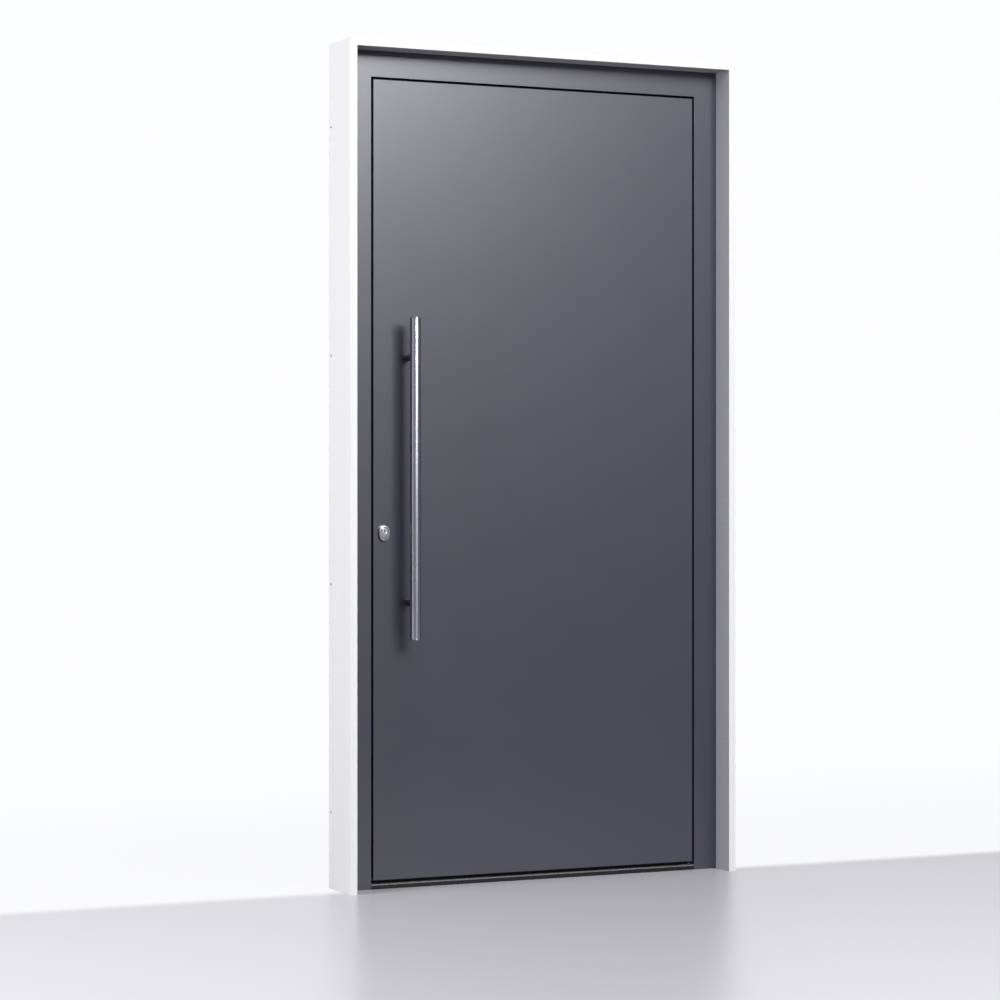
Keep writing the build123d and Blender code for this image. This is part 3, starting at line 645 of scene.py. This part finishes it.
drop = maths(rod_tree, "MULTIPLY", given["Rounding"], short_of_one)
short_of_one = maths(rod_tree, "SUBTRACT", 1, maths(rod_tree, "SINE", angle))
pull_in = maths(rod_tree, "MULTIPLY", given["Rounding"], short_of_one)
is_far = maths(rod_tree, "GREATER_THAN", index, maths(rod_tree, "SUBTRACT", given["Rim Points"], 0.5))
far_height = maths(rod_tree, "SUBTRACT", given["Length"], maths(rod_tree, "MULTIPLY", 2, drop))
height = maths(rod_tree, "ADD", drop, maths(rod_tree, "MULTIPLY", is_far, far_height))

line = add(rod_tree, "GeometryNodeCurvePrimitiveLine").outputs[0]
points = add(rod_tree, "GeometryNodeResampleCurve", {"Curve": line, "Count": count}).outputs[0]
place = add(rod_tree, "ShaderNodeCombineXYZ", {"Z": height}).outputs[0]
moved = add(rod_tree, "GeometryNodeSetPosition", {"Geometry": points, "Position": place}).outputs[0]
ring = add(rod_tree, "GeometryNodeCurvePrimitiveCircle", {"Radius": 1.0, "Resolution": given["Sides"]})
sweep_inputs = {"Curve": moved, "Profile Curve": ring.outputs[0], "Fill Caps": True}
sweep_inputs["Scale"] = maths(rod_tree, "SUBTRACT", given["Radius"], pull_in)
sweep = add(rod_tree, "GeometryNodeCurveToMesh", sweep_inputs).outputs[0]
end_tree(rod_tree, sweep, given["Finish"])

# %% A rod between two points
ROD_SIDES = 64
RIM_POINTS = 6


def run_tree(name, mesh, tree, identifiers, values):
    """Run a tree on a mesh and return a piece that holds the result as a plain mesh."""
    piece = new_piece(name, mesh)
    modifier = piece.modifiers.new("tree", "NODES")
    modifier.node_group = tree
    for label, value in values.items():
        modifier[identifiers[label]] = value
    return as_plain_mesh(piece)


def face_outwards(mesh):
    """Turn the faces of a closed mesh outwards."""
    turned = bmesh.new()
    turned.from_mesh(mesh)
    bmesh.ops.recalc_face_normals(turned, faces=turned.faces)
    turned.to_mesh(mesh)
    turned.free()


def rod(name, start, end, radius, rounding, material):
    """A rod with rounded rims from one point to another, with its place in its mesh."""
    start, end = Vector(start), Vector(end)
    values = {
        "Length": (end - start).length,
        "Radius": radius,
        "Rounding": rounding,
        "Rim Points": RIM_POINTS,
        "Sides": ROD_SIDES,
        "Finish": material,
    }
    piece = run_tree(name, bpy.data.meshes.new(name), rod_tree, ROD_INPUTS, values)
    turn = (end - start).to_track_quat("Z", "Y").to_matrix().to_4x4()
    piece.data.transform(Matrix.Translation(start) @ turn)
    face_outwards(piece.data)
    shade(piece.data)
    return piece


def join(name, pieces):
    """Several pieces as one mesh."""
    whole = bmesh.new()
    for piece in pieces:
        whole.from_mesh(piece.data)
    mesh = bpy.data.meshes.new(name)
    whole.to_mesh(mesh)
    whole.free()
    for material in pieces[0].data.materials:
        mesh.materials.append(material)
    for piece in pieces:
        bpy.data.objects.remove(piece)
    shade(mesh)
    return new_piece(name, mesh)


# %% [markdown]
# ## The pull bar
#
# The bar is a stainless tube, 29 mm thick and closed by a flat cap at each end, on two short dark posts. The
# seams between tube and caps are fine grooves, which the small rounding of each rim makes by itself. Each
# post ends inside the tube, short of its axis, and has a collar where it meets the leaf.

# %% Pull bar and caps
TUBE_ROUNDING = 0.15 * MM
CAP_ROUNDING = 0.25 * MM


def middle_of(node):
    """The middle of a solid's box."""
    low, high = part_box(node)
    return (low + high) / 2


bar_low, bar_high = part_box("pull_bar")
bar_middle = middle_of("pull_bar")
bar_radius = (bar_high.x - bar_low.x) / 2


def bar_stretch(name, z_0, z_1, rounding):
    """A stretch of the bar between two heights."""
    start, end = Vector((*bar_middle.xy, z_0)), Vector((*bar_middle.xy, z_1))
    return rod(name, start, end, bar_radius, rounding, steel_bar)


cap_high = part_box("pull_bar_cap_top")[1].z
cap_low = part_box("pull_bar_cap_bottom")[0].z
keep_piece(bar_stretch("pull_bar_tube", bar_low.z, bar_high.z, TUBE_ROUNDING), "pull_bar")
keep_piece(bar_stretch("pull_bar_end_top", bar_high.z, cap_high, CAP_ROUNDING), "pull_bar_cap_top")
keep_piece(bar_stretch("pull_bar_end_bottom", cap_low, bar_low.z, CAP_ROUNDING), "pull_bar_cap_bottom")

# %% Posts
POST_RADIUS = 9 * MM
POST_ROUNDING = 0.1 * MM
POST_END = 0.6
COLLAR_LENGTH = 4 * MM
COLLAR_ROUNDING = 0.6 * MM
leaf_face_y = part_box("leaf_outer_panel")[0].y

for node in ("pull_post_lower", "pull_post_upper"):
    low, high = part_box(node)
    z = (low.z + high.z) / 2
    foot = Vector((bar_middle.x, leaf_face_y, z))
    inside_tube = Vector((bar_middle.x, bar_middle.y + POST_END * bar_radius, z))
    collar_end = foot - Vector((0, COLLAR_LENGTH, 0))
    stem = rod("stem", foot, inside_tube, POST_RADIUS, POST_ROUNDING, dark_post)
    collar = rod("collar", foot, collar_end, (high.z - low.z) / 2, COLLAR_ROUNDING, dark_post)
    keep_piece(join(f"{node}_turned", [stem, collar]), node)

# %% [markdown]
# ## The hinge pins
#
# Each barrel hinge turns on a pin with a cap as wide as the knuckles. Three pins of the same size are
# three rods and three caps, joined as one piece because they stand still with the frame.

# %% Hinge pins
PIN_RADIUS = 5 * MM
PIN_DROP = 0.5 * MM
PIN_CAP_RADIUS = 9.5 * MM
PIN_CAP_HEIGHT = 4 * MM
PIN_ROUNDING = 0.5 * MM
pin_x, pin_y = middle_of("hinge_pins").xy

pin_rods = []
for level in HINGE_LEVELS:
    barrel_low, barrel_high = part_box(f"hinge_{level}_frame_wing")
    for z_0, z_1, radius in (
        (barrel_low.z - PIN_DROP, barrel_high.z, PIN_RADIUS),
        (barrel_high.z, barrel_high.z + PIN_CAP_HEIGHT, PIN_CAP_RADIUS),
    ):
        start, end = (pin_x, pin_y, z_0), (pin_x, pin_y, z_1)
        pin_rods.append(rod("pin", start, end, radius, PIN_ROUNDING, coat_hinge))
keep_piece(join("hinge_pins_turned", pin_rods), "hinge_pins")

# %% [markdown]
# ## Shields and cylinder, from rings
#
# The shield is an oval cap with a rounded rim and a bevelled hole, and the cylinder's plug shows in the
# hole with its turning core and keyway. Both can be built from rings of points, each ring an outline at some
# depth, with a band of faces between one ring and the next. It takes a short helper, and every outline
# with the same number of points can follow any other: an oval, a circle, a keyhole.

# %% A mesh from rings
def ring_stack(name, rings, material):
    """A closed mesh from rings of equal length; the first and the last ring are filled."""
    mesh = bpy.data.meshes.new(name)
    vertices = [point for ring in rings for point in ring]
    size = len(rings[0])
    faces = []
    for r in range(len(rings) - 1):
        for k in range(size):
            after = (k + 1) % size
            faces.append((r * size + k, r * size + after, (r + 1) * size + after, (r + 1) * size + k))
    faces.append(tuple(range(size)))
    faces.append(tuple(range(len(vertices) - size, len(vertices))))
    mesh.from_pydata(vertices, [], faces)
    face_outwards(mesh)
    mesh.materials.append(material)
    shade(mesh)
    return new_piece(name, mesh)


# %% Outlines round the plug's axis
RING_POINTS = 96
PLUG_HEIGHT = 0.940
LONGEST_REACH = 0.1
HALVINGS = 40
NOT_ZERO = 1e-6
plug_axis = Vector((middle_of("lock_cylinder").x, 0, PLUG_HEIGHT))


def circle(radius):
    """Distance from the middle to a circle, for any angle."""
    return lambda angle: radius


def edge_of(inside):
    """Distance from the middle to the edge of a shape, found by halving, for any angle."""

    def reach(angle):
        low, high = 0.0, LONGEST_REACH
        for _ in range(HALVINGS):
            middle = (low + high) / 2
            if inside(middle * math.sin(angle), middle * math.cos(angle)):
                low = middle
            else:
                high = middle
        return low

    return reach


def oval(half_width, half_height, inset, below):
    """Distance from the plug's axis to an upright oval whose middle lies below it."""
    radius = half_width - inset
    straight = half_height - half_width

    def inside(x, z):
        nearest = max(-straight, min(straight, z + below))
        return math.hypot(x, z + below - nearest) < radius

    return edge_of(inside)


def keyhole(radius, half_body, foot):
    """Distance to the outline of a profile cylinder: a circle over a narrow body with a round foot."""

    def inside(x, z):
        in_body = math.hypot(x, z - max(-foot, min(0, z))) < half_body
        return in_body or math.hypot(x, z) < radius

    return edge_of(inside)


def slot(half_width, half_height):
    """Distance to the outline of an upright keyway."""

    def reach(angle):
        across = half_width / max(abs(math.sin(angle)), NOT_ZERO)
        upright = half_height / max(abs(math.cos(angle)), NOT_ZERO)
        return min(across, upright)

    return reach


def ring_at(y, outline):
    """The points of an outline round the plug's axis, at one depth."""
    points = []
    for k in range(RING_POINTS):
        angle = 2 * math.pi * (k + 0.5) / RING_POINTS
        reach = outline(angle)
        points.append((plug_axis.x + reach * math.sin(angle), y, plug_axis.z + reach * math.cos(angle)))
    return points


print("rings of", RING_POINTS, "points round the plug at", [round(v, 4) for v in plug_axis])

# %% The two shields
RIM_ROUNDING = 2.6 * MM
RIM_STEPS = 8
HOLE_RADIUS = 8.8 * MM
HOLE_BEVEL = 1.2 * MM
PROFILE_HOLE = (8.8 * MM, 5.3 * MM, 19.5 * MM)


def shield(node, hole, bevelled):
    """An oval cap with a rounded rim, on the side of the leaf where its solid lies."""
    low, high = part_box(node)
    outward = -1 if low.y < 0 else 1
    seat = high.y if outward < 0 else low.y
    top = low.y if outward < 0 else high.y
    half_width, half_height = (high.x - low.x) / 2, (high.z - low.z) / 2
    below = plug_axis.z - (low.z + high.z) / 2
    rings = [ring_at(seat, hole), ring_at(seat, oval(half_width, half_height, 0, below))]
    for k in range(RIM_STEPS + 1):
        turn = math.radians(90 * k / RIM_STEPS)
        inset = RIM_ROUNDING * (1 - math.cos(turn))
        y = top - outward * RIM_ROUNDING * (1 - math.sin(turn))
        rings.append(ring_at(y, oval(half_width, half_height, inset, below)))
    if bevelled:
        rings.append(ring_at(top, circle(HOLE_RADIUS + HOLE_BEVEL)))
        rings.append(ring_at(top - outward * HOLE_BEVEL, hole))
    else:
        rings.append(ring_at(top, hole))
    rings.append(ring_at(seat, hole))
    piece = ring_stack(f"{node}_cap", rings, steel_shield)
    opened = bmesh.new()
    opened.from_mesh(piece.data)
    filled = [face for face in opened.faces if len(face.verts) > 4]
    bmesh.ops.delete(opened, geom=filled, context="FACES_ONLY")
    bmesh.ops.remove_doubles(opened, verts=opened.verts, dist=WELD_DISTANCE)
    opened.to_mesh(piece.data)
    opened.free()
    face_outwards(piece.data)
    shade(piece.data)
    keep_piece(piece, node)


shield("outer_shield", circle(HOLE_RADIUS), True)
shield("inner_shield", keyhole(*PROFILE_HOLE), False)

# %% The cylinder, from keyway to keyway
CORE_RADIUS = 6.5 * MM
GROOVE_WIDTH = 0.4 * MM
GROOVE_DEPTH = 1.0 * MM
KEYWAY = (1.0 * MM, 4.2 * MM)
KEYWAY_MOUTH = (1.25 * KEYWAY[0], 1.06 * KEYWAY[1])
KEYWAY_DEPTH = 6 * MM
PROFILE = (8.5 * MM, 5.0 * MM, 19.5 * MM)
RIM_BREAK = 0.3 * MM
CORE_BREAK = 0.2 * MM
BODY_IN_FRONT = 3 * MM
cylinder_low, cylinder_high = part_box("lock_cylinder")


def end_rings(y, inward, outline):
    """Rings from the bottom of the keyway to the rim of one end."""
    steps = [
        (KEYWAY_DEPTH, slot(*KEYWAY)),
        (RIM_BREAK, slot(*KEYWAY)),
        (0, slot(*KEYWAY_MOUTH)),
        (0, circle(CORE_RADIUS - CORE_BREAK)),
        (CORE_BREAK, circle(CORE_RADIUS)),
        (GROOVE_DEPTH, circle(CORE_RADIUS)),
        (GROOVE_DEPTH, circle(CORE_RADIUS + GROOVE_WIDTH)),
        (CORE_BREAK, circle(CORE_RADIUS + GROOVE_WIDTH)),
        (0, circle(CORE_RADIUS + GROOVE_WIDTH + CORE_BREAK)),
        (0, lambda angle: outline(angle) - RIM_BREAK),
        (RIM_BREAK, outline),
    ]
    return [ring_at(y + inward * depth, edge) for depth, edge in steps]


front = end_rings(cylinder_low.y, 1, circle(PROFILE[0]))
back = end_rings(cylinder_high.y, -1, keyhole(*PROFILE))
body_front_y = leaf_face_y - BODY_IN_FRONT
middle = [ring_at(body_front_y, circle(PROFILE[0])), ring_at(body_front_y, keyhole(*PROFILE))]
cylinder = ring_stack("lock_cylinder_profile", front + middle + back[::-1], nickel)
cylinder.data.materials.append(black_plastic_and_keyway_shade)
# Painted shade: the keyway's inside faces, past its rim, take the black finish, dark as the shade deep in
# the slot.
for face in cylinder.data.polygons:
    depth = min(face.center.y - cylinder_low.y, cylinder_high.y - face.center.y)
    off_axis = math.hypot(face.center.x - plug_axis.x, face.center.z - plug_axis.z)
    if RIM_BREAK < depth < KEYWAY_DEPTH + RIM_BREAK and off_axis < KEYWAY_MOUTH[1]:
        face.material_index = 1
keyway_shade_faces = sum(face.material_index for face in cylinder.data.polygons)
print("keyways:", keyway_shade_faces, "dark faces of", len(cylinder.data.polygons))
keep_piece(cylinder, "lock_cylinder")

# %% [markdown]
# ## The lever on the room side
#
# Inside, a lever handle turns on a round rose. The lever is one round rod with a mitred corner: straight
# out of the rose, and level to its end. Rings follow that path. The ring in the mitre is an ellipse, as a
# slanted saw cut through a rod is, and the last few rings shrink to round the tip.

# %% Rose
ROSE_ROUNDING = 1.8 * MM
rose_low, rose_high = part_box("inner_handle_rose")
rose_middle = middle_of("inner_handle_rose")
rose = rod(
    "inner_handle_rose_turned",
    (rose_middle.x, rose_low.y, rose_middle.z),
    (rose_middle.x, rose_high.y, rose_middle.z),
    (rose_high.x - rose_low.x) / 2,
    ROSE_ROUNDING,
    steel_bar,
)
keep_piece(rose, "inner_handle_rose")

# %% Lever
LEVER_RADIUS = 9.5 * MM
TIP_ROUNDING = 3.0 * MM
TIP_STEPS = 6
MITRE_TURN = math.pi / 4
lever_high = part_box("inner_handle_lever")[1]
grip_y = lever_high.y - LEVER_RADIUS

path = [((rose_middle.x, rose_low.y), 0.0, 1.0), ((rose_middle.x, grip_y), MITRE_TURN, 1.0)]
for k in range(TIP_STEPS + 1):
    turn = math.radians(90 * k / TIP_STEPS)
    x = lever_high.x - TIP_ROUNDING * (1 - math.sin(turn))
    share = 1 - TIP_ROUNDING / LEVER_RADIUS * (1 - math.cos(turn))
    path.append(((x, grip_y), math.pi / 2, share))
rings = []
for (x, y), turn, share in path:
    slant = math.sqrt(2) if turn == MITRE_TURN else 1.0
    ring = []
    for k in range(ROD_SIDES):
        angle = 2 * math.pi * k / ROD_SIDES
        sideways = LEVER_RADIUS * share * slant * math.cos(angle)
        upright = LEVER_RADIUS * share * math.sin(angle)
        ring.append((x + sideways * math.cos(turn), y - sideways * math.sin(turn), rose_middle.z + upright))
    rings.append(ring)
keep_piece(ring_stack("inner_handle_lever_mitred", rings, steel_bar), "inner_handle_lever")

# %% [markdown]
# ## Screws from a second tree
#
# Countersunk screws hold the hinge wings, the strike plates and the lock's faceplate, and round caps close
# the holes through which the frame is screwed in place. They are all one small head, so it is modelled once
# and a tree sets it on a list of points. Each point carries the direction that its head faces, and a seeded
# random turn keeps the recesses from lining up.

# %% One screw head
HEAD_SIDES = 24
RECESS_SIDES = 6


def head_ring(radius, z, sides=HEAD_SIDES):
    """A ring of points, or a coarse outline with the same number of points."""
    ring = []
    for k in range(HEAD_SIDES):
        angle = 2 * math.pi * k / HEAD_SIDES
        reach = radius
        if sides < HEAD_SIDES:
            sector = 2 * math.pi / sides
            reach = radius * math.cos(sector / 2) / math.cos(angle % sector - sector / 2)
        ring.append((reach * math.cos(angle), reach * math.sin(angle), z))
    return ring


head_rings = [
    head_ring(1.0, 0.0),
    head_ring(1.0, 0.10),
    head_ring(0.93, 0.20),
    head_ring(0.70, 0.25),
    head_ring(0.46, 0.25, RECESS_SIDES),
    head_ring(0.42, 0.04, RECESS_SIDES),
]
screw_head = ring_stack("screw_head", head_rings, steel_lock)
print("screw head:", len(screw_head.data.polygons), "faces at a radius of 1")

# %% A tree that sets heads on points
SCREW_SOCKETS = {"Head": "Object", "Head Radius": "Float", "Seed": "Int", "Finish": "Material"}
screw_tree, given, SCREW_INPUTS = new_tree("heads_on_points", SCREW_SOCKETS)
head = add(screw_tree, "GeometryNodeObjectInfo", {"Object": given["Head"]}).outputs["Geometry"]
named = add(screw_tree, "GeometryNodeInputNamedAttribute", {"Name": "facing"}, data_type="FLOAT_VECTOR")
facing = named.outputs["Attribute"]
aim = add(screw_tree, "FunctionNodeAlignRotationToVector", {"Vector": facing}, axis="Z").outputs[0]
whole_turn = {"Max": 2 * math.pi, "Seed": given["Seed"]}
chance = add(screw_tree, "FunctionNodeRandomValue", whole_turn, data_type="FLOAT").outputs[1]
spin = add(screw_tree, "FunctionNodeAxisAngleToRotation", {"Angle": chance}).outputs[0]
both = {"Rotation": aim, "Rotate By": spin}
turned = add(screw_tree, "FunctionNodeRotateRotation", both, rotation_space="LOCAL").outputs[0]
set_out = {
    "Points": given["Geometry"],
    "Instance": head,
    "Rotation": turned,
    "Scale": given["Head Radius"],
}
heads = add(screw_tree, "GeometryNodeInstanceOnPoints", set_out).outputs[0]
end_tree(screw_tree, heads, given["Finish"])

# %% Screws on a body
def screws(name, body, places, radius, material, seed):
    """One piece of screw heads on a body; places are pairs of a point and a direction."""
    mesh = bpy.data.meshes.new(name)
    mesh.from_pydata([point for point, _ in places], [], [])
    directions = mesh.attributes.new("facing", "FLOAT_VECTOR", "POINT")
    for k, (_, direction) in enumerate(places):
        directions.data[k].vector = direction
    values = {"Head": screw_head, "Head Radius": radius, "Seed": seed, "Finish": material}
    piece = run_tree(name, mesh, screw_tree, SCREW_INPUTS, values)
    shade(piece.data)
    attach(piece, body)
    print(name, len(places), "heads,", len(piece.data.polygons), "faces")


# %% Screws on the hinge wings
WING_SCREW_RADIUS = 4.6 * MM
WING_SCREW_OFFSETS = (-42 * MM, 0, 42 * MM)
WING_SCREW_INSET = 15 * MM
WING_FACE_Y = 43 * MM

for half, body in (("frame", "door_frame"), ("leaf", "door_leaf")):
    wing_places = []
    for level in HINGE_LEVELS:
        low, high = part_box(f"hinge_{level}_{half}_wing")
        x = high.x - WING_SCREW_INSET if half == "frame" else low.x + WING_SCREW_INSET
        for offset in WING_SCREW_OFFSETS:
            spot = Vector((x, WING_FACE_Y, (low.z + high.z) / 2 + offset))
            wing_places.append((spot, Vector((0, 1, 0))))
    screws(f"hinge_screws_{body}", body, wing_places, WING_SCREW_RADIUS, steel_lock, seed=3)

# %% Screws on the lock's plates, and caps in the frame
PLATE_SCREW_RADIUS = 3.4 * MM
STRIKE_SCREW_HEIGHTS = (0.912, 1.112, 0.354, 0.446, 1.604, 1.696)
FACEPLATE_SCREW_HEIGHTS = (0.315, 0.560, 0.860, 1.150, 1.450, 1.735)
FRAME_CAP_RADIUS = 6.0 * MM
FRAME_CAP_HEIGHTS = (0.2, 0.8, 1.4, 2.0)
FRAME_CAP_Y = 23 * MM
strike_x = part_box("strike_plate_lock")[1].x
faceplate_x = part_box("lock_faceplate")[0].x
rebate_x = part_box("jamb_right_inner_profile")[0].x
lock_y = middle_of("strike_plate_lock").y


def column(x, y, heights, way):
    """Places one above the other that all face one way along X."""
    return [(Vector((x, y, z)), Vector((way, 0, 0))) for z in heights]


spots = column(strike_x, lock_y, STRIKE_SCREW_HEIGHTS, 1)
screws("strike_screws", "door_frame", spots, PLATE_SCREW_RADIUS, steel_lock, seed=5)
spots = column(faceplate_x, lock_y, FACEPLATE_SCREW_HEIGHTS, -1)
screws("faceplate_screws", "door_leaf", spots, PLATE_SCREW_RADIUS, steel_lock, seed=7)
spots = column(-rebate_x, FRAME_CAP_Y, FRAME_CAP_HEIGHTS, 1)
spots += column(rebate_x, FRAME_CAP_Y, FRAME_CAP_HEIGHTS, -1)
screws("wall_screw_caps", "door_frame", spots, FRAME_CAP_RADIUS, black_plastic_and_keyway_shade, seed=11)
bpy.data.objects.remove(screw_head)

# %% [markdown]
# ## The size of the visual model
#
# The visual model has to keep the size of the solids, so its box is printed.

# %% Finish
visual_box = [list(corner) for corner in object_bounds()]
visual_low, visual_high = [[round(v, 3) for v in corner] for corner in visual_box]
print("visual model reaches from", visual_low, "to", visual_high)
